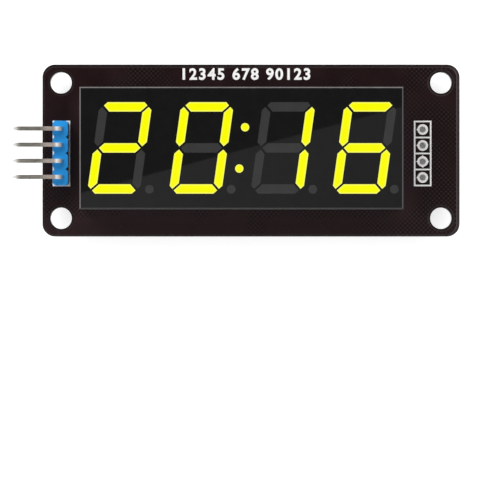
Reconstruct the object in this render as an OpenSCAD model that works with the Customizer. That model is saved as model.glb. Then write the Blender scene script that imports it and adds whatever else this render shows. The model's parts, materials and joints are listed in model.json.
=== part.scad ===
// Four-digit seven segment clock display on its driver board.
// The board's back face is at z = 0 and the display faces +Z. X runs along the digits and Y up them.
// The origin lies midway between the four mounting holes.

/* [Board] */
// Thickness of the board
board_t = 1.6; // [0.8:0.2:2.4]
// Radius of the board's corners
board_corner_r = 2; // [0.5:0.25:4]
// Distance from the display to the board's top edge
top_margin = 4; // [3.4:0.02:8]
// Distance from the display to the board's bottom edge
bottom_margin = 4.24; // [3.4:0.02:8]
// Diameter of the mounting holes
mount_hole_d = 3.4; // [2.2:0.1:4]
// Gap between a mounting hole and the printed ring round it
ring_gap = 0.665; // [0.3:0.005:1]
// Width of the printed rings round the mounting holes
ring_line = 0.27; // [0.2:0.01:0.35]
// Gap between a printed ring and the board's short edge
ring_edge_x = 0.315; // [0.1:0.005:0.6]
// Gap between a printed ring and the board's long edge
ring_edge_y = 0.265; // [0.1:0.005:0.6]

/* [Copper and solder] */
// Thickness of the copper pads
pad_t = 0.05; // [0.03:0.01:0.08]
// Wall of the copper barrel in a plated hole
barrel_t = 0.05; // [0.03:0.01:0.08]
// Reach of the corners on a spare hole's front pad, where its traces leave it
pad_flare = 0.15; // [0.05:0.01:0.2]
// Height of a solder joint above its pad
joint_h = 0.8; // [0.5:0.05:1]
// Bare rim of a pad round its solder, and width of the solder's neck round a pin
pad_rim = 0.05; // [0.02:0.01:0.08]
// Height of the solder film round a foot
film_h = 0.1; // [0.06:0.01:0.12]
// Height of the solder film at a pad's end
film_end_h = 0.02; // [0.01:0.01:0.04]
// Cut across the corners of a small part's solder
solder_corner = 0.1; // [0.05:0.01:0.2]

/* [Display] */
// Height of the display housing above the board
display_h = 8; // [6:0.25:12]
// Length that the housing lacks of four digit pitches
display_trim = 0.38; // [0.1:0.02:1]
// Distance from the digits to the housing's long sides
face_margin = 2.4; // [2:0.025:3]
// Chamfer round the display's face
face_chamfer = 0.2; // [0.1:0.05:0.4]
// Wall of the housing round its open back
housing_wall = 1; // [0.6:0.05:1.2]
// Depth from the housing's back rim to the inner board
rim_h = 0.5; // [0.3:0.05:1]
// Thickness of the inner board
base_board_t = 1; // [0.6:0.1:1.6]
// Gap round the inner board in the housing
base_board_gap = 0.05; // [0.01:0.01:0.1]
// Width of a light-emitting die
die_w = 0.35; // [0.2:0.05:0.4]
// Height of a light-emitting die
die_h = 0.15; // [0.1:0.05:0.3]

/* [Digits] */
// Distance from one digit to the next
digit_pitch = 12.72; // [12:0.02:15]
// Distance along X from the display's middle to the digits'
digit_shift = 0.12; // [-0.3:0.02:0.3]
// Gap between the uprights of neighbouring digits
digit_gap = 4.52; // [3.8:0.02:5.2]
// Width of a level segment
stroke = 1.47; // [1.1:0.01:1.7]
// Width of an upright segment
upright_w = 1.36; // [1.1:0.01:1.7]
// Share of a segment's width that lies outside its tips at a corner
corner_share = 0.35; // [0.3:0.01:0.5]
// Share of an upright segment's width that lies outside its tip at the waist
waist_share = 0.48; // [0.3:0.01:0.5]
// Gap between segments across a mitre
mitre_gap = 0.33; // [0.2:0.01:0.4]
// Gap between the tips of the upper and lower upright segments
waist_gap = 0.5; // [0.4:0.02:0.7]
// Slant of the digits in degrees
slant = 8; // [0:0.5:10]
// Width of a cavity at the inner board as a share of its width at the face
cavity_taper = 0.62; // [0.5:0.02:0.9]
// Diameter of a point
point_d = 1.36; // [1:0.02:1.6]
// Gap between a digit and its point, before the slant
point_gap = 0.76; // [0.4:0.02:1]
// Diameter of a colon dot
colon_d = 1.3; // [1:0.05:1.6]
// Distance between the colon's dots
colon_pitch = 6.44; // [4.8:0.04:8]

/* [Display pins] */
// Pins in one row under the display
row_pins = 6; // [4:1:6]
// Distance from one display pin to the next
row_pitch = 2.54; // [2:0.02:3]
// Diameter of a display pin
pin_d = 0.5; // [0.4:0.02:0.6]
// Gap between a display pin and its plated hole
pin_play = 0.15; // [0.1:0.01:0.2]
// Width of the copper ring round a display pin's hole
pin_ring_w = 0.4; // [0.25:0.01:0.45]
// Length of a display pin past its solder
pin_tip = 0.4; // [0.2:0.05:0.8]
// Gap between the display pins' copper rings and the housing's wall
pin_wall_gap = 0.11; // [0.04:0.01:0.5]
// Gap between the display pins' copper rings and the driver chip's pads
pin_chip_gap = 0.72; // [0.4:0.01:1.5]

/* [Header] */
// Pins in the header
header_n = 4; // [2:1:5]
// Distance from one header pin to the next
header_pitch = 2.54; // [2.4:0.02:2.8]
// Distance from the header pins' axis to the board's left edge
header_inset = 3; // [2.6:0.05:4]
// Place of the header's middle along Y
header_y = -0.47; // [-1:0.01:1]
// Gap between the header body and the display
header_gap = 2.15; // [1:0.01:4]
// Width of a square header pin
header_pin_w = 0.64; // [0.5:0.02:0.7]
// Width of the header body along X
header_body_w = 2.4; // [2:0.05:3]
// Height of the header body
header_body_h = 2.54; // [2:0.02:3]
// Depth of the notches between the header body's cells
header_notch = 0.35; // [0.2:0.05:0.6]
// Gap between the header body and the pins' level arms
arm_gap = 0.59; // [0.5:0.01:2]
// Radius of a pin's bend along its middle
bend_r = 0.7; // [0.5:0.05:0.8]
// Length of a pin's arm from its upright to its tip
arm_reach = 7.4; // [5:0.1:10]
// Length of the taper at a pin's end
taper_l = 0.7; // [0.3:0.05:0.8]
// Width of a pin's blunt end
tip_w = 0.3; // [0.2:0.02:0.4]
// Length of a header pin past its solder
header_tip = 0.65; // [0.4:0.05:1.2]
// Least gap between a header pin's edges and its plated hole
hole_play = 0.0475; // [0.02:0.0025:0.1]
// Width of the copper rings in the header and in the spare row
hole_ring_w = 0.35; // [0.25:0.01:0.4]

/* [Spare row] */
// Plated holes in the spare row
spare_n = 4; // [2:1:5]
// Distance from one spare hole to the next
spare_pitch = 2.54; // [2.4:0.02:2.8]
// Distance from the spare row to the board's right edge
spare_inset = 5.85; // [5:0.05:7]
// Place of the spare row's middle along Y
spare_y = -0.47; // [-1:0.01:1]
// Gap between the spare row's outline and the display
spare_gap = 2.105; // [1:0.005:4]

/* [Driver chip] */
// Distance along X from the display's middle to the chip's
chip_shift_x = 0.72; // [-1:0.01:1]
// Distance along Y from the display's middle to the chip's
chip_shift_y = -0.02; // [-0.2:0.01:0.2]
// Leads on each side of the chip
side_leads = 10; // [8:1:10]
// Distance from one lead to the next
lead_pitch = 1.27; // [1.2:0.01:1.3]
// Distance from an end lead's middle to the end of the chip's body
lead_end_l = 0.635; // [0.5:0.005:0.8]
// Width of the chip's body along Y
chip_w = 7.5; // [7:0.05:8.5]
// Height of the chip's body
chip_h = 2.4; // [2:0.05:2.6]
// Gap between the chip's body and the board
chip_standoff = 0.2; // [0.15:0.05:0.3]
// Distance that the chip's ends lean in over half its height
end_lean = 0.4; // [0.1:0.05:0.5]
// Distance that the chip's sides lean in over half its height
side_lean = 0.2; // [0.1:0.05:0.3]
// Diameter of the dimple by pin one
dimple_d = 1; // [0.6:0.05:1.2]
// Depth of the dimple by pin one
dimple_depth = 0.1; // [0.05:0.01:0.2]
// Distance from the dimple to the chip's end
dimple_inset_x = 1.1; // [1:0.05:2]
// Distance from the dimple to the chip's side
dimple_inset_y = 1.5; // [1:0.05:2]
// Width of a lead
lead_w = 0.4; // [0.3:0.02:0.48]
// Thickness of a lead
lead_t = 0.25; // [0.2:0.01:0.3]
// Reach of a lead's toe from the chip's side
lead_reach = 1.4; // [1.3:0.02:1.7]
// Length of a lead's foot from the middle of its leg to its toe
foot_l = 0.9; // [0.75:0.02:1.05]
// Radius of a lead's bends along its middle
lead_bend_r = 0.25; // [0.2:0.01:0.3]
// Length of a lead inside the chip's body
lead_root = 0.5; // [0.3:0.05:1]
// Width of a chip pad
chip_pad_w = 0.7; // [0.6:0.02:0.8]
// Distance from a chip pad's inner end to the chip's side
chip_pad_gap = 0.45; // [0.4:0.01:0.5]
// Length of a chip pad past its lead's toe
chip_pad_toe = 0.95; // [0.6:0.01:1.2]

/* [Small parts] */
// Distance along X from the chip's end to the first column of small parts
part_gap = 3.55; // [3.3:0.01:5]
// Distance along Y from the chip's middle to the first row of small parts
part_rise = 5.01; // [4:0.01:6]
// Length of a small part
part_l = 1.6; // [1.4:0.02:1.9]
// Width of a small part
part_w = 0.8; // [0.6:0.02:1]
// Height of a capacitor
capacitor_h = 0.8; // [0.6:0.02:0.9]
// Height of a resistor
resistor_h = 0.45; // [0.36:0.01:0.6]
// Thickness of a resistor's glazed top
glaze_t = 0.05; // [0.03:0.01:0.08]
// Height of the power light's base
light_base_h = 0.36; // [0.3:0.02:0.5]
// Height of the power light's lens
light_lens_h = 0.3; // [0.2:0.02:0.4]
// Gap between the power light's lens and its metal ends
light_lens_gap = 0.02; // [0:0.01:0.1]
// Distance that the lens's ends lean in
light_lens_lean = 0.1; // [0.02:0.02:0.2]
// Length of a metal end
terminal_l = 0.3; // [0.2:0.02:0.4]
// Thickness of a metal end's plating
terminal_t = 0.04; // [0.03:0.01:0.06]
// Distance that a pad stands out past the sides of its part
pad_side = 0.15; // [0.1:0.01:0.25]
// Distance that a pad stands out past the end of its part
pad_toe = 0.47; // [0.3:0.01:0.6]
// Distance that a pad reaches in past its part's metal end
pad_heel = 0.08; // [0:0.01:0.12]

/* [Silkscreen] */
// Thickness of the print
ink_t = 0.03; // [0.02:0.01:0.04]
// Width of the lines printed on the front
front_line = 0.25; // [0.15:0.01:0.3]
// Width of the lines printed on the back
ink_line = 0.2; // [0.15:0.01:0.24]
// Gap along X between the chip's end and its outline
chip_outline_gap = 0.2; // [0.1:0.05:0.4]
// Width of the outline's mouth at the chip's marked end
chip_mouth_w = 1.8; // [1:0.05:2.4]
// Gap between a small part's pads and the brackets' sides
bracket_side_gap = 0.13; // [0.05:0.01:0.2]
// Gap between a small part's pads and the brackets' ends
bracket_end_gap = 0.195; // [0.1:0.005:0.3]
// Gap between the two brackets of a small part
bracket_gap = 1.2; // [0.8:0.05:1.6]
// Gap between the brackets of neighbouring columns
column_gap = 0.29; // [0.2:0.01:0.5]
// Gap between the brackets of neighbouring rows
row_space = 0.27; // [0.2:0.01:0.5]
// Radius of the corners of the power light's lower bracket
light_bracket_r = 0.5; // [0.3:0.05:0.7]
// Outer diameter of the ring that marks pin one
pin_one_ring_d = 0.72; // [0.6:0.02:0.8]
// Gap along X between pin one's pad and its ring
pin_one_gap_x = 0.31; // [0.2:0.01:0.6]
// Gap along Y between the chip's outline and the ring
pin_one_gap_y = 0.64; // [0.2:0.01:1]
// Squares in the colour legend
legend_n = 5; // [3:1:6]
// Width of a legend square
legend_w = 1.16; // [0.8:0.02:1.4]
// Gap between legend squares
legend_gap = 0.35; // [0.2:0.01:0.6]
// Distance from the legend's middle to the board's right edge
legend_inset = 14.55; // [12:0.05:17]
// Place of the legend's middle along Y
legend_y = -0.34; // [-1:0.01:1]

/* [Hidden] */
$fn = 48;
LETTERS = "abcdefg";
DIGITS = [1, 2, 3, 4];
// Segments of each digit that glow
LIT = ["abdeg", "abcdef", "bc", "acdefg"];
// Spare hole whose pad joins the copper round it on four sides, counted from the lowest
ground_hole = 1;

// Cutting tools reach this far past the faces that they cut
past = 1;
// Driver chip, lead frame and pads
chip_l = (side_leads - 1) * lead_pitch + 2 * lead_end_l;
lead_span = chip_w + 2 * lead_reach;
chip_pad_in = chip_w / 2 + chip_pad_gap;
chip_pad_out = lead_span / 2 + chip_pad_toe;
shoulder_h = chip_standoff + chip_h / 2;
// Display pins in their plated holes
pin_bore_d = pin_d + 2 * pin_play;
pin_pad_d = pin_bore_d + 2 * pin_ring_w;
pin_tail = pad_t + joint_h + pin_tip;
row_gap = 2 * (chip_pad_out + pin_chip_gap) + pin_pad_d;
// Display and digits
display_l = len(DIGITS) * digit_pitch - display_trim;
display_w = row_gap + pin_pad_d + 2 * (pin_wall_gap + housing_wall);
digit_w = digit_pitch - digit_gap - upright_w;
digit_h = display_w - 2 * face_margin - stroke;
point_x = (digit_w + upright_w + point_d) / 2 + point_gap;
point_drop = (digit_h + stroke - point_d) / 2;
// Header and spare holes
hole_bore_d = header_pin_w * sqrt(2) + 2 * hole_play;
hole_pad_d = hole_bore_d + 2 * hole_ring_w;
header_tail = pad_t + joint_h + header_tip;
header_body_l = header_n * header_pitch;
// Board and its mounting holes
left_margin = header_inset + header_body_w / 2 + header_gap;
right_margin = spare_inset + (spare_pitch + front_line) / 2 + spare_gap;
board_l = left_margin + display_l + right_margin;
board_w = bottom_margin + display_w + top_margin;
ring_d = mount_hole_d + 2 * ring_gap + ring_line;
mount_x = (board_l - ring_d - ring_line) / 2 - ring_edge_x;
mount_y = (board_w - ring_d - ring_line) / 2 - ring_edge_y;
// Places across the board
display_x = left_margin + (display_l - board_l) / 2;
display_y = bottom_margin + (display_w - board_w) / 2;
digits_x = display_x + digit_shift;
header_x = header_inset - board_l / 2;
spare_x = board_l / 2 - spare_inset;
legend_x = board_l / 2 - legend_inset;
chip_x = display_x + chip_shift_x;
chip_y = display_y + chip_shift_y;
part_x = chip_x - chip_l / 2 - part_gap;
part_y = chip_y + part_rise;
// Levels above the board's back
face_z = board_t + display_h;
base_board_z = board_t + rim_h;
die_z = base_board_z + base_board_t;
cavity_h = face_z - die_z;
header_z = board_t + pad_t;
arm_z = header_z + header_body_h + arm_gap + header_pin_w / 2;
// Small parts, their pads and the brackets round them
part_pad_w = part_w + 2 * pad_side;
part_pad_in = part_l / 2 - terminal_l - pad_heel;
part_pad_out = part_l / 2 + pad_toe;
bracket_w = part_pad_w + 2 * (bracket_side_gap + ink_line);
bracket_l = 2 * (part_pad_out + bracket_end_gap + ink_line);
column_pitch = bracket_w + column_gap;
row_drop = bracket_l + row_space;
light_lens_l = part_l - 2 * (terminal_l + light_lens_gap);
// Outline of the driver chip and its mark
chip_outline_l = chip_l + 2 * (chip_outline_gap + ink_line);
chip_outline_w = 2 * chip_pad_in - ink_line;
pin_one_x = chip_x + ((side_leads - 1) * lead_pitch + chip_pad_w + pin_one_ring_d) / 2 + pin_one_gap_x;
pin_one_y = chip_y - (chip_outline_w + pin_one_ring_d) / 2 - pin_one_gap_y;

// Offsets of n things spread evenly about 0
function spread(n, pitch) = [for (i = [0:n - 1]) (i - (n - 1) / 2) * pitch];

mount_points = [for (x = [-mount_x, mount_x], y = [-mount_y, mount_y]) [x, y]];
pin_points = [for (x = spread(row_pins, row_pitch), side = [-1, 1])
    [display_x + x, display_y + side * row_gap / 2]];
header_points = [for (y = spread(header_n, header_pitch)) [header_x, header_y + y]];
spare_points = [for (y = spread(spare_n, spare_pitch)) [spare_x, spare_y + y]];
legend_points = [for (y = spread(legend_n, legend_w + legend_gap)) [legend_x, legend_y + y]];
lead_offsets = spread(side_leads, lead_pitch);

// Column and row of each small part
capacitor_cells = [[0, 0], [1, 0], [2, 2], [3, 2]];
resistor_cells = [[2, 0], [2, 1], [3, 1]];
light_cells = [[3, 0]];
part_cells = concat(capacitor_cells, resistor_cells, light_cells);

// A segment is a bar with two pointed ends. Its tips lie off its middle line, towards the digit's outside.
level_off = stroke * (0.5 - corner_share);
upright_off = upright_w * (0.5 - corner_share);
waist_off = upright_w * (0.5 - waist_share);
mitre = mitre_gap / sqrt(2);
// Heights of an upright segment's two tips from the digit's middle
waist_tip = waist_gap / 2;
corner_tip = digit_h / 2 + level_off - mitre;
upright_y = (corner_tip + waist_tip) / 2;
// Half the distance between the tips of each kind of segment
top_reach = digit_w / 2 + upright_off - mitre;
middle_reach = digit_w / 2 + waist_off + waist_tip - 2 * mitre;
upright_reach = (corner_tip - waist_tip) / 2;

function slanted(p) = [p[0] + p[1] * tan(slant), p[1]];
// Outline of a bar along X, w wide, with a tip at -reach and one at +reach, each at its own height
function bar(reach, w, left_off, right_off) = let (side = w / 2) [
    [-reach, left_off], [side - left_off - reach, side], [reach + right_off - side, side],
    [reach, right_off], [reach - right_off - side, -side], [side + left_off - reach, -side]];
// Middle of a segment, from its digit's centre before the slant
function segment_middle(s) =
    s == "a" ? [0, digit_h / 2] : s == "d" ? [0, -digit_h / 2] : s == "g" ? [0, 0] :
    [(s == "b" || s == "c" ? 1 : -1) * digit_w / 2, (s == "b" || s == "f" ? 1 : -1) * upright_y];
// Outline of a segment about its own middle, before the slant
function segment_outline(s) =
    s == "g" ? bar(middle_reach, stroke, 0, 0) :
    s == "a" ? bar(top_reach, stroke, level_off, level_off) :
    s == "d" ? bar(top_reach, stroke, -level_off, -level_off) :
    let (side = s == "b" || s == "c" ? 1 : -1, upper = s == "b" || s == "f")
    [for (p = upper ? bar(upright_reach, upright_w, waist_off, upright_off) :
        bar(upright_reach, upright_w, upright_off, waist_off)) [side * p[1], p[0]]];

function digit_centre(d) = [digits_x + spread(len(DIGITS), digit_pitch)[d - 1], display_y];
function segment_place(d, s) = digit_centre(d) + slanted(segment_middle(s));
function point_place(d) = digit_centre(d) + slanted([point_x, -point_drop]);
function colon_place(side) = [digits_x, display_y] + slanted([0, side * colon_pitch / 2]);

module at(points) {
    for (p = points) translate([p[0], p[1], 0]) children();
}

// Turns what is drawn upwards from z = 0 into what stands out of the board's back
module on_back() {
    mirror([0, 0, 1]) children();
}

module at_parts(cells) {
    on_back() translate([part_x, part_y, pad_t])
        for (c = cells) translate([-c[0] * column_pitch, -c[1] * row_drop, 0]) children();
}

module at_leads() {
    on_back() translate([chip_x, chip_y, 0])
        for (side = [0, 1], x = lead_offsets) mirror([0, side, 0]) translate([x, 0, 0]) children();
}

module rounded_rect(l, w, r) {
    square([l - 2 * r, w], center = true);
    square([l, w - 2 * r], center = true);
    for (x = [-1, 1], y = [-1, 1]) translate([x * (l / 2 - r), y * (w / 2 - r)]) circle(r);
}

module rect_frame(l, w, line) {
    difference() {
        square([l + line, w + line], center = true);
        square([l - line, w - line], center = true);
    }
}

module slot_shape(x0, x1, w) {
    translate([x0 + w / 2, -w / 2]) square([x1 - x0 - w, w]);
    for (x = [x0 + w / 2, x1 - w / 2]) translate([x, 0]) circle(d = w);
}

// Quarter of a flat ring in the first quadrant, r to its middle line and t wide
module quarter_ring(r, t) {
    intersection() {
        difference() {
            circle(r + t / 2);
            circle(r - t / 2);
        }
        square(r + t);
    }
}

// Extrudes an outline drawn in (x, height) to the length l along Y
module along_y(l) {
    rotate([90, 0, 0]) linear_extrude(l, center = true) children();
}

// Extrudes an outline drawn in (y, height) to the length l along X
module along_x(l) {
    rotate([90, 0, 90]) linear_extrude(l, center = true) children();
}

module drill(d) {
    translate([0, 0, -past]) cylinder(h = board_t + 2 * past, d = d);
}

module printed_circuit_board() {
    color("#191313") difference() {
        linear_extrude(board_t) rounded_rect(board_l, board_w, board_corner_r);
        at(mount_points) drill(mount_hole_d);
        at(pin_points) drill(pin_bore_d + 2 * barrel_t);
        at(concat(header_points, spare_points)) drill(hole_bore_d + 2 * barrel_t);
    }
}

// Copper barrel with a ring on each face. The front ring has a corner towards each of the given turns.
module plated_hole(bore_d, pad_d, corners = []) {
    reach = pad_d / 2 + pad_flare;
    difference() {
        union() {
            cylinder(h = board_t, d = bore_d + 2 * barrel_t);
            translate([0, 0, board_t]) linear_extrude(pad_t) {
                circle(d = pad_d);
                for (turn = corners) rotate(turn) translate([reach, 0]) rotate(135)
                    square(reach / sqrt(2));
            }
            translate([0, 0, -pad_t]) cylinder(h = pad_t, d = pad_d);
        }
        drill(bore_d);
    }
}

module plated_holes() {
    color("#d9cfc0") {
        at(pin_points) plated_hole(pin_bore_d, pin_pad_d);
        at(header_points) plated_hole(hole_bore_d, hole_pad_d);
        for (i = [0:spare_n - 1]) at([spare_points[i]])
            plated_hole(hole_bore_d, hole_pad_d, i == ground_hole ? [0, 90, 180, 270] : [180]);
    }
}

module chip_pad_shape() {
    rotate(90) slot_shape(chip_pad_in, chip_pad_out, chip_pad_w);
}

module surface_pads() {
    color("#d5d2cc") {
        at_leads() linear_extrude(pad_t) chip_pad_shape();
        at_parts(part_cells) for (side = [0, 1]) mirror([0, side, 0])
            translate([-part_pad_w / 2, part_pad_in, -pad_t])
                cube([part_pad_w, part_pad_out - part_pad_in, pad_t]);
    }
}

module silkscreen_front() {
    color("#efecea") translate([0, 0, board_t]) linear_extrude(ink_t) {
        translate([header_x, header_y]) rect_frame(header_pitch, header_body_l, front_line);
        translate([spare_x, spare_y]) {
            rect_frame(spare_pitch, spare_n * spare_pitch, front_line);
            for (y = spread(spare_n - 1, spare_pitch)) translate([0, y])
                square([spare_pitch, front_line], center = true);
        }
    }
}

// Outline of the driver chip, open at its marked end and hooked inwards there
module chip_outline() {
    hook = chip_outline_gap + ink_line / 2;
    difference() {
        rect_frame(chip_outline_l - ink_line, chip_outline_w - ink_line, ink_line);
        translate([chip_outline_l / 2 - ink_line - past, -chip_mouth_w / 2])
            square([2 * past, chip_mouth_w]);
    }
    for (side = [-1, 1]) translate([chip_outline_l / 2 - ink_line - hook / 2, side * hook_y()])
        square([hook, ink_line], center = true);
}

// Middle line of the hooks, just outside the mouth
function hook_y() = chip_mouth_w / 2 + ink_line / 2;

// Bracket round the upper end of a small part. Its corners are round if r is above 0.
module bracket(r) {
    intersection() {
        if (r > 0) difference() {
            rounded_rect(bracket_w, bracket_l, r);
            rounded_rect(bracket_w - 2 * ink_line, bracket_l - 2 * ink_line, r - ink_line);
        }
        else rect_frame(bracket_w - ink_line, bracket_l - ink_line, ink_line);
        translate([-bracket_w / 2 - past, bracket_gap / 2]) square([bracket_w + 2 * past, bracket_l]);
    }
}

module bracket_pair(lower_r) {
    bracket(0);
    mirror([0, 1]) bracket(lower_r);
}

module silkscreen_back() {
    color("#efecea") on_back() linear_extrude(ink_t) {
        for (p = mount_points) translate(p) difference() {
            circle(d = ring_d + ring_line);
            circle(d = ring_d - ring_line);
        }
        translate([chip_x, chip_y]) chip_outline();
        translate([pin_one_x, pin_one_y]) difference() {
            circle(d = pin_one_ring_d);
            circle(d = pin_one_ring_d - 2 * ink_line);
        }
        translate([part_x, part_y]) for (c = part_cells)
            translate([-c[0] * column_pitch, -c[1] * row_drop])
                bracket_pair(c == light_cells[0] ? light_bracket_r : 0);
    }
}

module legend_square() {
    on_back() linear_extrude(ink_t) square(legend_w, center = true);
}

module legend_squares() {
    color("#8b8986") at([for (i = [1:legend_n - 1]) legend_points[i]]) legend_square();
}

module colour_mark() {
    color("#d8e21c") at([legend_points[0]]) legend_square();
}

// Segment-shaped guide from the face down to the inner board, narrowing on the way
module segment_guide(d, s) {
    translate(concat(segment_place(d, s), face_z)) mirror([0, 0, 1])
        linear_extrude(cavity_h, scale = cavity_taper)
            polygon([for (p = segment_outline(s)) slanted(p)]);
}

module round_guide(place, diameter) {
    translate(concat(place, die_z))
        cylinder(h = cavity_h, d1 = diameter * cavity_taper, d2 = diameter);
}

module die(place) {
    translate(concat(place, die_z)) translate([-die_w / 2, -die_w / 2, 0])
        cube([die_w, die_w, die_h]);
}

module display_housing() {
    color("#1d1d1e") difference() {
        translate([display_x, display_y, 0]) intersection() {
            along_y(display_w) chamfered_side(display_l);
            along_x(display_l) chamfered_side(display_w);
        }
        translate([display_x, display_y, board_t - past]) linear_extrude(die_z - board_t + past)
            square([display_l - 2 * housing_wall, display_w - 2 * housing_wall], center = true);
        for (d = DIGITS) {
            for (s = LETTERS) segment_guide(d, s);
            round_guide(point_place(d), point_d);
        }
        for (side = [-1, 1]) round_guide(colon_place(side), colon_d);
    }
}

// Side view of the housing, w wide, with its upper corners cut off
module chamfered_side(w) {
    polygon([[-w / 2, board_t], [w / 2, board_t], [w / 2, face_z - face_chamfer],
        [w / 2 - face_chamfer, face_z], [face_chamfer - w / 2, face_z], [-w / 2, face_z - face_chamfer]]);
}

module display_base_board() {
    margin = 2 * (housing_wall + base_board_gap);
    color("#e7e4da") difference() {
        translate([display_x, display_y, base_board_z]) linear_extrude(base_board_t)
            square([display_l - margin, display_w - margin], center = true);
        at(pin_points) display_pin();
    }
}

module led_dice() {
    color("#e6c84a") {
        for (d = DIGITS) {
            for (s = LETTERS) die(segment_place(d, s));
            die(point_place(d));
        }
        for (side = [-1, 1]) die(colon_place(side));
    }
}

module digit_segment(d, s) {
    glows = len(search(s, LIT[d - 1])) > 0;
    color(glows ? "#f6f61a" : "#4a4a4a") difference() {
        segment_guide(d, s);
        die(segment_place(d, s));
    }
}

module digit_point(d) {
    color("#4a4a4a") difference() {
        round_guide(point_place(d), point_d);
        die(point_place(d));
    }
}

module colon_dot(side) {
    color("#f6f61a") difference() {
        round_guide(colon_place(side), colon_d);
        die(colon_place(side));
    }
}

module display_pin() {
    translate([0, 0, -pin_tail]) cylinder(h = pin_tail + die_z, d = pin_d);
}

module display_pins() {
    color("#c9c6c0") at(pin_points) display_pin();
}

// Solder that fills a plated hole and rises round the pin in a hollow cone behind the board
module solder_joint(bore_d, pad_d, neck_d) {
    edge = pad_d / 2 - pad_rim;
    neck = neck_d / 2;
    cone = [for (a = [0:18:90]) [edge - (edge - neck) * sin(a), -pad_t - joint_h * (1 - cos(a))]];
    rotate_extrude() polygon(concat(
        [[0, header_z], [bore_d / 2, header_z], [bore_d / 2, -pad_t]], cone, [[0, -pad_t - joint_h]]));
}

module display_pin_solder() {
    color("#cfccc6") at(pin_points) difference() {
        solder_joint(pin_bore_d, pin_pad_d, pin_d + 2 * pad_rim);
        display_pin();
    }
}

module header_body() {
    color("#1a86d8") difference() {
        translate([header_x, header_y, header_z]) linear_extrude(header_body_h) difference() {
            square([header_body_w, header_body_l], center = true);
            for (x = [-1, 1], y = spread(header_n + 1, header_pitch))
                translate([x * header_body_w / 2, y]) rotate(45)
                    square(header_notch * sqrt(2), center = true);
        }
        at(header_points) linear_extrude(arm_z) square(header_pin_w, center = true);
    }
}

// Square pin that stands in the board, bends over the header body and runs out to -X
module header_pin() {
    half = header_pin_w / 2;
    end = tip_w / 2;
    low = arm_z - bend_r;
    mirror([1, 0, 0]) intersection() {
        along_y(header_pin_w) {
            translate([-half, -header_tail]) square([header_pin_w, header_tail + low]);
            translate([bend_r, low]) mirror([1, 0]) quarter_ring(bend_r, header_pin_w);
            translate([bend_r, arm_z - half]) square([arm_reach - bend_r - taper_l, header_pin_w]);
            polygon([[arm_reach - taper_l, arm_z - half], [arm_reach, arm_z - end],
                [arm_reach, arm_z + end], [arm_reach - taper_l, arm_z + half]]);
        }
        translate([0, 0, -header_tail]) linear_extrude(header_tail + arm_z + past)
            polygon([[-past, -half], [arm_reach - taper_l, -half], [arm_reach, -end],
                [arm_reach, end], [arm_reach - taper_l, half], [-past, half]]);
        along_x(2 * (arm_reach + past))
            polygon([[-end, -header_tail], [end, -header_tail], [half, taper_l - header_tail],
                [half, arm_z + past], [-half, arm_z + past], [-half, taper_l - header_tail]]);
    }
}

module header_pins() {
    color("#a8a49c") at(header_points) header_pin();
}

module header_solder() {
    color("#cfccc6") at(header_points) difference() {
        solder_joint(hole_bore_d, hole_pad_d, header_pin_w * sqrt(2) + 2 * pad_rim);
        header_pin();
    }
}

// Side view of a moulded body that narrows by draft from its middle to its top and bottom
module drafted_side(w, draft) {
    high = chip_standoff + chip_h;
    polygon([[draft - w / 2, chip_standoff], [w / 2 - draft, chip_standoff], [w / 2, shoulder_h],
        [w / 2 - draft, high], [draft - w / 2, high], [-w / 2, shoulder_h]]);
}

module driver_chip_body() {
    color("#2a2323") difference() {
        on_back() translate([chip_x, chip_y, 0]) difference() {
            intersection() {
                along_y(chip_w) drafted_side(chip_l, end_lean);
                along_x(chip_l) drafted_side(chip_w, side_lean);
            }
            translate([chip_l / 2 - dimple_inset_x, dimple_inset_y - chip_w / 2,
                chip_standoff + chip_h - dimple_depth]) cylinder(h = past, d = dimple_d);
        }
        at_leads() translate([-lead_w / 2, chip_w / 2 - lead_root, shoulder_h - lead_t / 2])
            cube([lead_w, lead_root + past, lead_t]);
    }
}

// Gull-wing lead in (distance from the chip's middle, height above the board's back)
module lead_side() {
    leg = lead_span / 2 - foot_l;
    foot = pad_t + lead_t / 2;
    root = chip_w / 2 - lead_root;
    translate([root, shoulder_h - lead_t / 2]) square([leg - lead_bend_r - root, lead_t]);
    translate([leg - lead_bend_r, shoulder_h - lead_bend_r]) quarter_ring(lead_bend_r, lead_t);
    translate([leg - lead_t / 2, foot + lead_bend_r])
        square([lead_t, shoulder_h - foot - 2 * lead_bend_r]);
    translate([leg + lead_bend_r, foot + lead_bend_r]) rotate(180) quarter_ring(lead_bend_r, lead_t);
    translate([leg + lead_bend_r, pad_t]) square([foot_l - lead_bend_r, lead_t]);
}

module driver_chip_leads() {
    color("#d2cfc9") at_leads() along_x(lead_w) lead_side();
}

// Solder film over a chip pad, thicker at the lead's toe
module driver_chip_solder() {
    toe = lead_span / 2;
    color("#dedbd5") at_leads() difference() {
        intersection() {
            translate([0, 0, pad_t]) linear_extrude(lead_t) chip_pad_shape();
            along_x(chip_pad_w) polygon([[chip_pad_in, pad_t], [chip_pad_in, pad_t + film_end_h],
                [toe - foot_l, pad_t + film_h], [toe, pad_t + 2 * film_h],
                [chip_pad_out, pad_t + film_end_h], [chip_pad_out, pad_t]]);
        }
        along_x(lead_w) lead_side();
    }
}

// Block along Y with its long edges cut off, standing on z = 0
module chip_block(l, w, h) {
    cut = terminal_t;
    along_y(l) polygon([[cut - w / 2, 0], [w / 2 - cut, 0], [w / 2, cut], [w / 2, h - cut],
        [w / 2 - cut, h], [cut - w / 2, h], [-w / 2, h - cut], [-w / 2, cut]]);
}

// The body inside a small part's plated ends
module part_core(h) {
    translate([0, 0, terminal_t])
        chip_block(part_l - 2 * terminal_t, part_w - 2 * terminal_t, h - 2 * terminal_t);
}

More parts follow.
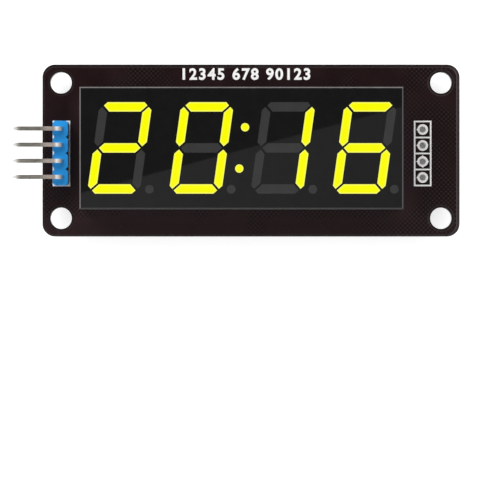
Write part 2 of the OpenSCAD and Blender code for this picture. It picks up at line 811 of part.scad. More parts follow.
module part_terminals(h) {
    for (side = [-1, 1]) difference() {
        translate([0, side * (part_l - terminal_l) / 2, 0]) chip_block(terminal_l, part_w, h);
        part_core(h);
    }
}

module part_fillets(h) {
    rise = h / 2;
    side = part_pad_w / 2;
    for (end = [0, 1]) mirror([0, end, 0]) intersection() {
        linear_extrude(h) polygon([[-part_w / 2, part_l / 2], [part_w / 2, part_l / 2],
            [side, part_pad_out - solder_corner], [side - solder_corner, part_pad_out],
            [solder_corner - side, part_pad_out], [-side, part_pad_out - solder_corner]]);
        along_x(part_pad_w) polygon(concat([[part_l / 2, 0], [part_pad_out, 0]],
            [for (a = [0:22.5:90]) [part_l / 2 + (part_pad_out - part_l / 2) * (1 - sin(a)),
                film_end_h + rise * (1 - cos(a))]]));
    }
}

module capacitor_bodies() {
    color("#b8a08c") at_parts(capacitor_cells) part_core(capacitor_h);
}

module resistor_bodies() {
    color("#dcd8d0") at_parts(resistor_cells) part_core(resistor_h);
}

module resistor_tops() {
    color("#2b2724") at_parts(resistor_cells) translate([0, 0, resistor_h - terminal_t])
        linear_extrude(glaze_t)
            square([part_w - 4 * terminal_t, part_l - 2 * terminal_l], center = true);
}

module power_led_base() {
    color("#ece9df") at_parts(light_cells) part_core(light_base_h);
}

module power_led_lens() {
    half = light_lens_l / 2;
    color("#f4f1e6") at_parts(light_cells) translate([0, 0, light_base_h - terminal_t])
        along_x(part_w - 2 * terminal_t)
            polygon([[-half, 0], [half, 0],
                [half - light_lens_lean, light_lens_h], [light_lens_lean - half, light_lens_h]]);
}

module component_terminals() {
    color("#d2cfc9") {
        at_parts(capacitor_cells) part_terminals(capacitor_h);
        at_parts(resistor_cells) part_terminals(resistor_h);
        at_parts(light_cells) part_terminals(light_base_h);
    }
}

module component_solder() {
    color("#dedbd5") {
        at_parts(capacitor_cells) part_fillets(capacitor_h);
        at_parts(resistor_cells) part_fillets(resistor_h);
        at_parts(light_cells) part_fillets(light_base_h);
    }
}

printed_circuit_board();
plated_holes();
surface_pads();
silkscreen_front();
silkscreen_back();
legend_squares();
colour_mark();
display_housing();
display_base_board();
led_dice();
display_pins();
display_pin_solder();
for (d = DIGITS) {
    for (s = LETTERS)
        digit_segment(d, s);
    digit_point(d);
}
colon_dot(1);  // colon_upper
colon_dot(-1);  // colon_lower
header_body();
header_pins();
header_solder();
driver_chip_body();
driver_chip_leads();
driver_chip_solder();
capacitor_bodies();
resistor_bodies();
resistor_tops();
power_led_base();
power_led_lens();
component_terminals();
component_solder();
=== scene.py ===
"""Looks of the seven segment display module: a finish for each CAD node, the printed numbers, the stage."""

import json
import math

import bpy
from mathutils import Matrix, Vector


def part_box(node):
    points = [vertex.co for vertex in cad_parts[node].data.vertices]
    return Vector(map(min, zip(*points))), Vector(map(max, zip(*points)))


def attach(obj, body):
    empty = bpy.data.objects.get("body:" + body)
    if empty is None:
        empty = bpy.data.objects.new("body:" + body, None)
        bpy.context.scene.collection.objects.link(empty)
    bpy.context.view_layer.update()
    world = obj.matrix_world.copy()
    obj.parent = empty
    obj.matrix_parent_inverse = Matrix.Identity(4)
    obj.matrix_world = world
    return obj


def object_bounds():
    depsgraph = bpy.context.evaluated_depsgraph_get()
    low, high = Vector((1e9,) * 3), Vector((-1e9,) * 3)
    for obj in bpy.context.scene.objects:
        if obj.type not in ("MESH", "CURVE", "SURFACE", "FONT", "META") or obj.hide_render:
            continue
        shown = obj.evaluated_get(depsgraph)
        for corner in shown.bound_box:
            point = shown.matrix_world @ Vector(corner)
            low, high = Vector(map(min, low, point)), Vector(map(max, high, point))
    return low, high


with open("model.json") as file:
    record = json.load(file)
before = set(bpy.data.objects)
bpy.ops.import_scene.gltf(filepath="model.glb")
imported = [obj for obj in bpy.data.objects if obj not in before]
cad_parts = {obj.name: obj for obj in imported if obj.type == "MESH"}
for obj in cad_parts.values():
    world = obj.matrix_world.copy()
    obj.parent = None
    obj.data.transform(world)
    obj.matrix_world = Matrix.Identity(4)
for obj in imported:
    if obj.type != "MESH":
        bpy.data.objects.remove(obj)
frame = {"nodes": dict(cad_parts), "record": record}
cad_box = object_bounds()

MM = 0.001

# Places on the module, read from the frame
BOARD_LOW, BOARD_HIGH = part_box("printed_circuit_board")
HOUSING_LOW, HOUSING_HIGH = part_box("display_housing")
HEADER_LOW, HEADER_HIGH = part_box("header_body")
CHIP_LOW, CHIP_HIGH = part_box("driver_chip_body")
LEGEND_LOW, LEGEND_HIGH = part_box("legend_squares")
PIN_TIP_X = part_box("header_pins")[0].x
CHIP_LEADS_END_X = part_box("driver_chip_leads")[1].x
BOARD_TOP = BOARD_HIGH.z
FACE_Z = HOUSING_HIGH.z
MOUNTS = {mount["name"]: mount for mount in frame["record"]["mounts"]}
HOLE_SPACING = MOUNTS["mounting_holes"]["dims"]
MOUNT_X = HOLE_SPACING["spacing_x_mm"] / 2 * MM
MOUNT_Y = HOLE_SPACING["spacing_y_mm"] / 2 * MM

# The share of a normal along an axis from which its surface counts as facing that way
FACING = 0.5

# A range is written as Graph.span takes it: two values, and what they become where that isn't 0 and 1.
# These two turn a noise into a pattern, one with soft and one with harder contrast
SOFT = (0.3, 0.7)
HARD = (0.35, 0.65)

# The mix node's colour sockets: its two inputs and its output
MIX_A, MIX_B, MIX_OUT = 6, 7, 2


class Graph:
    """Adds nodes to a tree and links them in one call."""

    def __init__(self, tree):
        self.tree = tree
        self.coordinates = None

    def add(self, kind, inputs=None, **settings):
        node = self.tree.nodes.new(kind)
        for name, value in settings.items():
            setattr(node, name, value)
        for name, value in (inputs or {}).items():
            self.put(node.inputs[name], value)
        return node

    def put(self, socket, value):
        """Links another socket to this one, or sets this one to a constant."""
        if isinstance(value, bpy.types.NodeSocket):
            self.tree.links.new(value, socket)
        else:
            socket.default_value = value

    def place(self):
        """Object coordinates: places on the module in metres, as every object stands at the origin."""
        if self.coordinates is None:
            self.coordinates = self.add("ShaderNodeTexCoord").outputs["Object"]
        return self.coordinates

    def math(self, operation, a, b=0.0):
        return self.add("ShaderNodeMath", {0: a, 1: b}, operation=operation).outputs[0]

    def noise(self, size, detail, stretch=None):
        """Noise with features of about the given size in metres, stretched along the axes if asked."""
        place = self.place()
        if stretch:
            place = self.add("ShaderNodeMapping", {"Vector": place, "Scale": stretch}).outputs[0]
        inputs = {"Vector": place, "Scale": 1 / size, "Detail": detail}
        return self.add("ShaderNodeTexNoise", inputs).outputs["Fac"]

    def span(self, value, low, high, to_low=0.0, to_high=1.0, smooth=False):
        """Maps low and high to to_low and to_high, clamped past them. Low may be over high."""
        inputs = {"Value": value, "From Min": low, "From Max": high, "To Min": to_low, "To Max": to_high}
        kind = "SMOOTHSTEP" if smooth else "LINEAR"
        return self.add("ShaderNodeMapRange", inputs, interpolation_type=kind).outputs["Result"]

    def blend(self, factor, a, b):
        """Colour a at factor 0, and colour b at factor 1."""
        inputs = {"Factor": factor, MIX_A: rgba(a), MIX_B: rgba(b)}
        return self.add("ShaderNodeMix", inputs, data_type="RGBA").outputs[MIX_OUT]

    def length(self, a, b):
        squares = self.math("ADD", self.math("MULTIPLY", a, a), self.math("MULTIPLY", b, b))
        return self.math("SQRT", squares)

    def line(self, value, middle, reach):
        """1 where the value is at the middle of a line, falling to 0 at its sides."""
        off = self.math("ABSOLUTE", self.math("SUBTRACT", value, middle))
        return self.span(off, 0.0, reach, 1.0, 0.0, smooth=True)

    def spot(self, x, y, middle_x, middle_y, inner_r, outer_r):
        """1 inside a circle, falling to 0 at a larger one."""
        off_x = self.math("SUBTRACT", x, middle_x)
        off_y = self.math("SUBTRACT", y, middle_y)
        return self.span(self.length(off_x, off_y), outer_r, inner_r)

    def split(self, vector):
        return self.add("ShaderNodeSeparateXYZ", {0: vector}).outputs

    def normal(self):
        return self.split(self.add("ShaderNodeNewGeometry").outputs["Normal"])

    def bump(self, height, distance, normal=None):
        inputs = {"Height": height, "Distance": distance}
        if normal is not None:
            inputs["Normal"] = normal
        return self.add("ShaderNodeBump", inputs).outputs[0]


def rgba(color):
    return color if isinstance(color, bpy.types.NodeSocket) else (*color, 1.0)


def shade(color, factor):
    return tuple(channel * factor for channel in color)


def new_material(name, **sockets):
    """A node material, with the constant settings on its shader's own sockets."""
    material = bpy.data.materials.new(name)
    material.use_nodes = True
    shader = material.node_tree.nodes["Principled BSDF"]
    for socket, value in sockets.items():
        shader.inputs[socket.replace("_", " ").title().replace("Ior", "IOR")].default_value = value
    return material, Graph(material.node_tree), shader


def reopened(material):
    """A graph on a finished material, its shader, and the colour that the shader has so far."""
    graph = Graph(material.node_tree)
    shader = graph.tree.nodes["Principled BSDF"]
    return graph, shader, shader.inputs["Base Color"].links[0].from_socket


# Base finishes

DRIFT_SHARE, GRAIN_SHARE = 0.65, 0.35
METAL_DRIFT = (0.32, 0.68)


def grained(name, color, vary=0.1, patch=2 * MM, grain=0.12 * MM, depth=0.006 * MM,
            rough=(0.4, 0.55), edge=0.0, **sockets):
    """A surface whose colour drifts over patches, with a fine grain in its height and its gloss."""
    material, graph, shader = new_material(name, **sockets)
    drift = graph.noise(size=patch, detail=3.0)
    fine = graph.noise(size=grain, detail=4.0)
    mixed = graph.math("ADD", graph.math("MULTIPLY", drift, DRIFT_SHARE),
                       graph.math("MULTIPLY", fine, GRAIN_SHARE))
    tone = graph.blend(graph.span(mixed, *HARD), shade(color, 1 - vary), shade(color, 1 + vary))
    graph.put(shader.inputs["Base Color"], tone)
    graph.put(shader.inputs["Roughness"], graph.span(fine, *SOFT, *rough))
    normal = graph.add("ShaderNodeBevel", {"Radius": edge}, samples=4).outputs[0] if edge else None
    graph.put(shader.inputs["Normal"], graph.bump(fine, depth, normal))
    return material


def metal_material(name, color, rough, vary=0.12, patch=0.5 * MM, ripple=0.25 * MM, depth=0.01 * MM,
                   metallic=1.0, stretch=None):
    """Tinned metal with uneven gloss and a soft ripple."""
    material, graph, shader = new_material(name, metallic=metallic)
    drift = graph.span(graph.noise(size=patch, detail=3.0, stretch=stretch), *METAL_DRIFT)
    wave = graph.noise(size=ripple, detail=2.0, stretch=stretch)
    graph.put(shader.inputs["Base Color"], graph.blend(drift, shade(color, 1 - vary), color))
    graph.put(shader.inputs["Roughness"], graph.span(wave, *SOFT, *rough))
    graph.put(shader.inputs["Normal"], graph.bump(wave, depth))
    return material


# Circuit board

BOARD_CORNER_R = 2 * MM

# The copper under the mask ends at a step, inside the board's outline and round each mounting hole. The mask
# bends over it between two distances, from the outline or from the hole's middle, and a highlight is painted
# in a line there
EDGE_STEP, EDGE_LINE = (0.2 * MM, 0.4 * MM), 0.3 * MM
HOLE_STEP, HOLE_LINE = (1.95 * MM, 2.15 * MM), 2.08 * MM
STEP_LINE_REACH = 0.11 * MM

# Three of the board's sides have looks of their own, which begin at one place and are full at the next
RIGHT_SIDE = (BOARD_HIGH.x - 2.0 * MM, BOARD_HIGH.x - 0.7 * MM)
FAR_SIDE = (BOARD_HIGH.y - 1.8 * MM, BOARD_HIGH.y - 0.7 * MM)
NEAR_SIDE = (BOARD_LOW.y + 1.8 * MM, BOARD_LOW.y + 0.7 * MM)
# Along the right and the far side the step stands further in by this much
STEP_SHIFT = 0.15 * MM

# How strong the highlight painted on the step is from left to right, and how much stronger it is along the
# right side
EDGE_PAINTED_HIGHLIGHT = (BOARD_LOW.x, BOARD_HIGH.x, 0.05, 0.25)
RIGHT_PAINTED_HIGHLIGHT = 0.55
HOLE_PAINTED_HIGHLIGHT = (-10 * MM, 10 * MM, 0.06, 0.26)
# The colour of the highlight painted on the step
STEP_PAINTED_HIGHLIGHT_COLOR = (0.085, 0.070, 0.072)

# Past the step lies a rim, which is paler along the right and the near side and darker round a hole
RIM_COLOR, PALE_RIM_COLOR = (0.0170, 0.0105, 0.0110), (0.034, 0.026, 0.026)
HOLE_RIM = (1.78 * MM, HOLE_STEP[0], 0.7, 0.0)
HOLE_RIM_COLOR = (0.006, 0.004, 0.004)

# The glass weave shows through the mask in patches. They are likelier in strips along the front's right and
# near side, and towards the far side of the back
WEAVE_PITCH = 0.72 * MM
PATCHES = (0.50, 0.70)
LIKELY_SHARE = 0.20
RIGHT_STRIP = (22 * MM, 26 * MM)
NEAR_STRIP_Y, NEAR_STRIP_REACH = -9.9 * MM, 1.2 * MM
BACK_STRIP = (-2 * MM, 8 * MM, -0.7, 1.0)
# How much the patches, the valleys between the threads and the threads' tops show
PATCH_SHARE = 0.22
VALLEYS = (0.0, -1.0, 0.0, 0.55)
TOPS, TOP_SHARE = (0.1, 1.0), 0.42
TOP_COLOR = (0.058, 0.042, 0.044)

MASK_DARK, MASK_PALE = (0.0128, 0.0048, 0.0055), (0.0164, 0.0064, 0.0073)
MASK_ROUGH = (0.18, 0.28)
BLACK = (0.0, 0.0, 0.0)
# Painted light: the mask is paler along the front's near side, lifting the shade that falls there
NEAR_PAINTED_LIGHT, NEAR_PAINTED_LIGHT_SHARE = (-9.5 * MM, -11 * MM), 0.75
NEAR_PAINTED_LIGHT_COLOR = (0.0235, 0.0108, 0.0125)
# Painted light makes it paler still next to the display, lifting the shade that the display casts there. It
# shows not at all at the first distance from the display and fully at the second. At the left the distance
# counts from a little under the display, and at the near side it counts for more. All this fades out towards
# the display's far side
BY_DISPLAY_PAINTED_LIGHT = (3.6 * MM, 0.6 * MM)
BY_LEFT_OVERLAP, BY_NEAR_FACTOR = 0.8 * MM, 1.5
BELOW_TOP = (HOUSING_HIGH.y + 0.2 * MM, HOUSING_HIGH.y - 2.5 * MM)
BY_DISPLAY_PAINTED_LIGHT_COLOR = (0.0310, 0.0150, 0.0172)
# Painted shade: the back is darker, a little less so towards its far side
BACK_PAINTED_SHADE = (-6 * MM, 6 * MM, 0.9, 0.8)
BACK_PAINTED_SHADE_COLOR = (0.0024, 0.0002, 0.0003)

# The copper's height under the mask, and how high threads and orange peel are as shares of it
COPPER_T = 0.03 * MM
THREAD_HEIGHT, PEEL_HEIGHT = 0.08, 0.12

LAMINATE_DARK, LAMINATE_PALE = (0.030, 0.023, 0.016), (0.070, 0.054, 0.036)
LAYER_STRETCH = (0.15, 0.15, 1.0)


def board_edges(graph, x, y):
    """Copper under the mask, the highlight painted along its step, the rim's colour, and the rims of the
    holes.
    """
    across = graph.math("ABSOLUTE", x)
    along = graph.math("ABSOLUTE", y)
    past_x = graph.math("SUBTRACT", across, BOARD_HIGH.x - BOARD_CORNER_R)
    past_y = graph.math("SUBTRACT", along, BOARD_HIGH.y - BOARD_CORNER_R)
    round_corner = graph.length(graph.math("MAXIMUM", past_x, 0.0), graph.math("MAXIMUM", past_y, 0.0))
    straight = graph.math("MINIMUM", graph.math("MAXIMUM", past_x, past_y), 0.0)
    to_edge = graph.math("SUBTRACT", BOARD_CORNER_R, graph.math("ADD", round_corner, straight))
    from_hole = graph.length(graph.math("SUBTRACT", across, MOUNT_X), graph.math("SUBTRACT", along, MOUNT_Y))

    at_right = graph.span(x, *RIGHT_SIDE)
    at_far = graph.span(y, *FAR_SIDE)
    at_near = graph.span(y, *NEAR_SIDE)
    shift = graph.math("MULTIPLY", graph.math("MAXIMUM", at_right, at_far), STEP_SHIFT)
    to_step = graph.math("SUBTRACT", to_edge, shift)
    inside = graph.span(to_step, *EDGE_STEP, smooth=True)
    copper = graph.math("MULTIPLY", inside, graph.span(from_hole, *HOLE_STEP, smooth=True))

    # A highlight painted in a line along the copper's step, stronger towards the right
    shine = graph.math("ADD", graph.span(x, *EDGE_PAINTED_HIGHLIGHT), graph.math("MULTIPLY", at_right, RIGHT_PAINTED_HIGHLIGHT))
    edge_highlight = graph.math("MULTIPLY", graph.line(to_step, EDGE_LINE, STEP_LINE_REACH), shine)
    hole_highlight_strength = graph.span(x, *HOLE_PAINTED_HIGHLIGHT)
    hole_highlight = graph.math("MULTIPLY", graph.line(from_hole, HOLE_LINE, STEP_LINE_REACH), hole_highlight_strength)
    step = graph.math("MAXIMUM", edge_highlight, hole_highlight)

    outside = graph.math("SUBTRACT", 1.0, inside)
    paler = graph.math("MULTIPLY", graph.math("MAXIMUM", at_right, at_near), outside)
    rim = graph.blend(paler, RIM_COLOR, PALE_RIM_COLOR)
    return copper, step, rim, graph.span(from_hole, *HOLE_RIM)


def board_weave(graph, x, y, on_front, on_back):
    """The patches in which the glass weave shows through the mask, and the height of its threads there."""
    turn = 2 * math.pi / WEAVE_PITCH
    warp = graph.math("COSINE", graph.math("MULTIPLY", x, turn))
    weft = graph.math("COSINE", graph.math("MULTIPLY", y, turn))
    weave = graph.math("MULTIPLY", warp, weft)
    right_strip = graph.math("MULTIPLY", graph.span(x, *RIGHT_STRIP), on_front)
    near_strip = graph.math("MULTIPLY", graph.line(y, NEAR_STRIP_Y, NEAR_STRIP_REACH), on_front)
    back_strip = graph.math("MULTIPLY", graph.span(y, *BACK_STRIP), on_back)
    likely = graph.math("ADD", graph.math("MAXIMUM", right_strip, near_strip), back_strip)
    chance = graph.noise(size=7 * MM, detail=2.0)
    cover = graph.math("ADD", chance, graph.math("MULTIPLY", likely, LIKELY_SHARE))
    patches = graph.span(cover, *PATCHES)
    return patches, graph.math("MULTIPLY", weave, patches)


def beside_display(graph, x, y):
    """Painted light by the display: 1 next to its left, right and near side, falling to 0 a few mm off."""
    past_right = graph.math("SUBTRACT", x, HOUSING_HIGH.x)
    past_left = graph.math("SUBTRACT", HOUSING_LOW.x + BY_LEFT_OVERLAP, x)
    past_near = graph.math("MULTIPLY", graph.math("SUBTRACT", HOUSING_LOW.y, y), BY_NEAR_FACTOR)
    past = graph.math("MAXIMUM", graph.math("MAXIMUM", past_right, past_left), past_near)
    close = graph.math("MULTIPLY", graph.span(past, *BY_DISPLAY_PAINTED_LIGHT), graph.math("GREATER_THAN", past, 0.0))
    return graph.math("MULTIPLY", close, graph.span(y, *BELOW_TOP))


def board_material():
    """Black solder mask over copper and glass weave on both faces, with bare laminate round the edge."""
    material, graph, shader = new_material("solder_mask_board", ior=1.45, specular_ior_level=0.35)
    x, y, z = graph.split(graph.place())
    is_face = graph.math("GREATER_THAN", graph.math("ABSOLUTE", graph.normal()[2]), FACING)
    on_back = graph.math("LESS_THAN", z, BOARD_TOP / 2)
    on_front = graph.math("SUBTRACT", 1.0, on_back)
    copper, step, rim, hole_rim = board_edges(graph, x, y)
    patches, threads = board_weave(graph, x, y, on_front, on_back)

    cloud = graph.noise(size=5 * MM, detail=4.0)
    mask = graph.blend(graph.span(cloud, *HARD), MASK_DARK, MASK_PALE)
    # Painted light along the front's near side and beside the display, lifting the shade there
    near_painted_light = graph.math("MULTIPLY", graph.span(y, *NEAR_PAINTED_LIGHT), on_front)
    mask = graph.blend(graph.math("MULTIPLY", near_painted_light, NEAR_PAINTED_LIGHT_SHARE), mask, NEAR_PAINTED_LIGHT_COLOR)
    beside = graph.math("MULTIPLY", beside_display(graph, x, y), on_front)
    mask = graph.blend(beside, mask, BY_DISPLAY_PAINTED_LIGHT_COLOR)
    mask = graph.blend(graph.math("MULTIPLY", patches, PATCH_SHARE), mask, BLACK)
    mask = graph.blend(graph.span(threads, *VALLEYS), mask, BLACK)
    mask = graph.blend(copper, rim, mask)
    # Paint the highlight along the copper's step
    mask = graph.blend(step, mask, STEP_PAINTED_HIGHLIGHT_COLOR)
    mask = graph.blend(hole_rim, mask, HOLE_RIM_COLOR)
    # Painted shade over the back
    darker = graph.math("MULTIPLY", on_back, graph.span(y, *BACK_PAINTED_SHADE))
    mask = graph.blend(darker, mask, BACK_PAINTED_SHADE_COLOR)
    tops = graph.math("MULTIPLY", graph.span(threads, *TOPS), copper)
    mask = graph.blend(graph.math("MULTIPLY", tops, TOP_SHARE), mask, TOP_COLOR)
    layers = graph.noise(size=0.18 * MM, detail=2.0, stretch=LAYER_STRETCH)
    laminate = graph.blend(graph.span(layers, *HARD), LAMINATE_DARK, LAMINATE_PALE)
    graph.put(shader.inputs["Base Color"], graph.blend(is_face, laminate, mask))
    graph.put(shader.inputs["Roughness"], graph.span(cloud, *SOFT, *MASK_ROUGH))

    orange_peel = graph.noise(size=0.6 * MM, detail=3.0)
    height = graph.math("ADD", copper, graph.math("MULTIPLY", threads, THREAD_HEIGHT))
    height = graph.math("ADD", height, graph.math("MULTIPLY", orange_peel, PEEL_HEIGHT))
    graph.put(shader.inputs["Normal"], graph.bump(height, COPPER_T))
    return material


# Display

PLASTIC_DARK, PLASTIC_PALE = (0.0052, 0.0052, 0.0053), (0.0068, 0.0068, 0.0069)
WALL_ROUGH, FACE_ROUGH = 0.42, 0.015
# The chamfer round the face lies within this depth of it. It is worn paler, and painted shade makes it darker
# at the right and the near side
CHAMFER_DEPTH = 0.25 * MM
WORN_DARK, WORN_PALE = (0.066, 0.060, 0.060), (0.098, 0.090, 0.090)
WORN_RIGHT_PAINTED_SHADE, WORN_NEAR_PAINTED_SHADE = (0.038, 0.035, 0.035), (0.018, 0.015, 0.015)
# The upward share of a normal from which a surface starts to be level, and from which it is
LEVEL = (0.9, 0.95)

RESIN_VARY, GLOW_VARY = 0.07, 0.015
RESIN_ROUGH = (0.04, 0.06)
# A lit resin's glow has this much blue near its edges. There a normal that is rounded over this radius leans,
# and its upward share falls from the first value towards the second
EDGE_BLUE = 0.15
EDGE_R = 0.45 * MM
EDGE_LEAN = (0.9995, 0.92)


def housing_material():
    """Black moulded plastic: a glossy face, a scuffed chamfer with painted shade, and satin sides."""
    material, graph, shader = new_material("black_display_housing", ior=1.5)
    normal_x, normal_y, normal_z = graph.normal()
    z = graph.split(graph.place())[2]
    up = graph.span(normal_z, *LEVEL)
    tilted = graph.math("MULTIPLY", graph.math("GREATER_THAN", normal_z, FACING),
                        graph.math("LESS_THAN", normal_z, LEVEL[0]))
    chamfer = graph.math("MULTIPLY", tilted, graph.math("GREATER_THAN", z, FACE_Z - CHAMFER_DEPTH))
    fine = graph.noise(size=0.09 * MM, detail=3.0)
    scuffs = graph.span(graph.noise(size=1.3 * MM, detail=4.0), *SOFT)
    plastic = graph.blend(scuffs, PLASTIC_DARK, PLASTIC_PALE)
    worn_and_shaded = graph.blend(scuffs, WORN_DARK, WORN_PALE)
    # Painted shade: the chamfer is darker at the right and the near side
    worn_and_shaded = graph.blend(graph.math("GREATER_THAN", normal_x, FACING), worn_and_shaded, WORN_RIGHT_PAINTED_SHADE)
    worn_and_shaded = graph.blend(graph.math("LESS_THAN", normal_y, -FACING), worn_and_shaded, WORN_NEAR_PAINTED_SHADE)
    graph.put(shader.inputs["Base Color"], graph.blend(chamfer, plastic, worn_and_shaded))
    graph.put(shader.inputs["Roughness"], graph.span(up, 0.0, 1.0, WALL_ROUGH, FACE_ROUGH))
    grain = graph.math("MULTIPLY", fine, graph.math("SUBTRACT", 1.0, up))
    graph.put(shader.inputs["Normal"], graph.bump(grain, 0.004 * MM))
    return material


def resin_material(name, color, glow=None):
    """Cast resin, level and glossy, with a faint drift of tone. A lit one glows, paler at its edges."""
    sockets = {"ior": 1.5, "specular_ior_level": 0.25}
    if glow:
        sockets["emission_strength"] = 1.0
    material, graph, shader = new_material(name, **sockets)
    drift = graph.span(graph.noise(size=2.6 * MM, detail=3.0), *SOFT)
    tone = graph.blend(drift, shade(color, 1 - RESIN_VARY), shade(color, 1 + RESIN_VARY))
    graph.put(shader.inputs["Base Color"], tone)
    if glow:
        rounded = graph.add("ShaderNodeBevel", {"Radius": EDGE_R}, samples=8).outputs[0]
        edge = graph.span(graph.split(rounded)[2], *EDGE_LEAN)
        even = graph.blend(drift, shade(glow, 1 - GLOW_VARY), glow)
        red, green, _ = glow
        graph.put(shader.inputs["Emission Color"], graph.blend(edge, even, (red, green, EDGE_BLUE)))
    gloss = graph.noise(size=0.5 * MM, detail=2.0)
    graph.put(shader.inputs["Roughness"], graph.span(gloss, *SOFT, *RESIN_ROUGH))
    return material


# Chip and print

# The chip's dimple: its distance from two sides of the body, its radius, and how soft its rim is
DIMPLE_INSET_X, DIMPLE_INSET_Y = 1.1 * MM, 1.5 * MM
DIMPLE_R, DIMPLE_BLUR = 0.5 * MM, 0.05 * MM
DIMPLE_COLOR = (0.0008, 0.0002, 0.0001)

# The printed ring beside the chip's pin one, on the board's back
PIN_ONE_X = CHIP_LEADS_END_X + 0.82 * MM
PIN_ONE_Y = CHIP_LOW.y - 1.35 * MM
PIN_ONE_INNER_R, PIN_ONE_OUTER_R = 0.45 * MM, 0.50 * MM
PIN_ONE_COLOR = (0.20, 0.19, 0.185)

# What all printed inks have alike
INK = {"grain": 0.08 * MM, "depth": 0.004 * MM, "rough": (0.5, 0.7)}


def chip_material():
    """Brown-black mould, with a dark dimple beside pin one."""
    material = grained("chip_mould", (0.0175, 0.0100, 0.0078), vary=0.16, patch=2.5 * MM, grain=0.05 * MM,
                       depth=0.006 * MM, rough=(0.3, 0.4), edge=0.06 * MM, specular_ior_level=0.2)
    graph, shader, mould = reopened(material)
    x, y, _ = graph.split(graph.place())
    dimple = graph.spot(x, y, CHIP_HIGH.x - DIMPLE_INSET_X, CHIP_LOW.y + DIMPLE_INSET_Y,
                        DIMPLE_R - DIMPLE_BLUR, DIMPLE_R + DIMPLE_BLUR)
    graph.put(shader.inputs["Base Color"], graph.blend(dimple, mould, DIMPLE_COLOR))
    return material


def white_print_material():
    """White print, thin and grey where it rings the chip's pin one."""
    material = grained("white_print", (0.92, 0.915, 0.90), vary=0.04, patch=0.8 * MM, **INK)
    graph, shader, white = reopened(material)
    x, y, z = graph.split(graph.place())
    ring = graph.spot(x, y, PIN_ONE_X, PIN_ONE_Y, PIN_ONE_INNER_R, PIN_ONE_OUTER_R)
    ring = graph.math("MULTIPLY", ring, graph.math("LESS_THAN", z, BOARD_TOP / 2))
    graph.put(shader.inputs["Base Color"], graph.blend(ring, white, PIN_ONE_COLOR))
    return material


# Solder and pins

# Half-width of the strip on the back that the chip and the small parts keep to
SMALL_PARTS_REACH = 7.0 * MM
# The small parts stand to the left of this place, and the chip to the right
SMALL_PARTS_X = -8.6 * MM

SMALL_JOINT_COLOR = (0.60, 0.57, 0.54)
DOME_DARK, DOME_PALE = (0.30, 0.28, 0.275), (0.52, 0.495, 0.485)
JOINT_METALLIC, DOME_METALLIC = 0.2, 0.85

SMALL_END_COLOR = (0.50, 0.47, 0.44)
DULL_DARK, DULL_PALE = (0.15, 0.14, 0.12), (0.34, 0.32, 0.28)
WARM_DARK, WARM_PALE = (0.41, 0.35, 0.31), (0.58, 0.51, 0.45)
# Pale colours of the highlights painted at the header pins' tips and bends
PIN_HIGHLIGHT_DARK, PIN_HIGHLIGHT_PALE = (0.88, 0.88, 0.85), (0.98, 0.98, 0.96)
LEAD_METALLIC, HEADER_PIN_METALLIC = 0.15, 0.45
# Drawn metal has its streaks along the header's pins
LEAD_STRETCH, STREAK_STRETCH = (0.2, 1.0, 1.0), (0.12, 1.0, 1.0)

# Where a header pin leaves the board and turns dull, where it nears its tip, and where it nears its bend; tip
# and bend get a painted highlight
OFF_BOARD = (BOARD_LOW.x + 1.0 * MM, BOARD_LOW.x - 0.2 * MM)
AT_TIP, TIP_HIGHLIGHT_SHARE = (PIN_TIP_X + 1.2 * MM, PIN_TIP_X + 0.3 * MM), 0.7
AT_BEND = (HEADER_LOW.x + 0.3 * MM, HEADER_LOW.x + 0.7 * MM)


def solder_material():
    """Solder: grey domes on the through pins, and whiter joints beside the chip and the small parts."""
    material = metal_material("solder", (0.90, 0.87, 0.85), rough=(0.22, 0.34), ripple=0.6 * MM,
                              depth=0.006 * MM, metallic=JOINT_METALLIC)
    graph, shader, joints = reopened(material)
    x, y, _ = graph.split(graph.place())
    display_row = graph.math("GREATER_THAN", graph.math("ABSOLUTE", y), SMALL_PARTS_REACH)
    header_row = graph.math("LESS_THAN", x, HEADER_HIGH.x)
    dome = graph.math("MAXIMUM", display_row, header_row)
    streaks = graph.span(graph.noise(size=0.5 * MM, detail=3.0), *SOFT)
    grey = graph.blend(streaks, DOME_DARK, DOME_PALE)
    joints = graph.blend(graph.math("LESS_THAN", x, SMALL_PARTS_X), joints, SMALL_JOINT_COLOR)
    graph.put(shader.inputs["Base Color"], graph.blend(dome, joints, grey))
    graph.put(shader.inputs["Metallic"], graph.span(dome, 0.0, 1.0, JOINT_METALLIC, DOME_METALLIC))
    return material


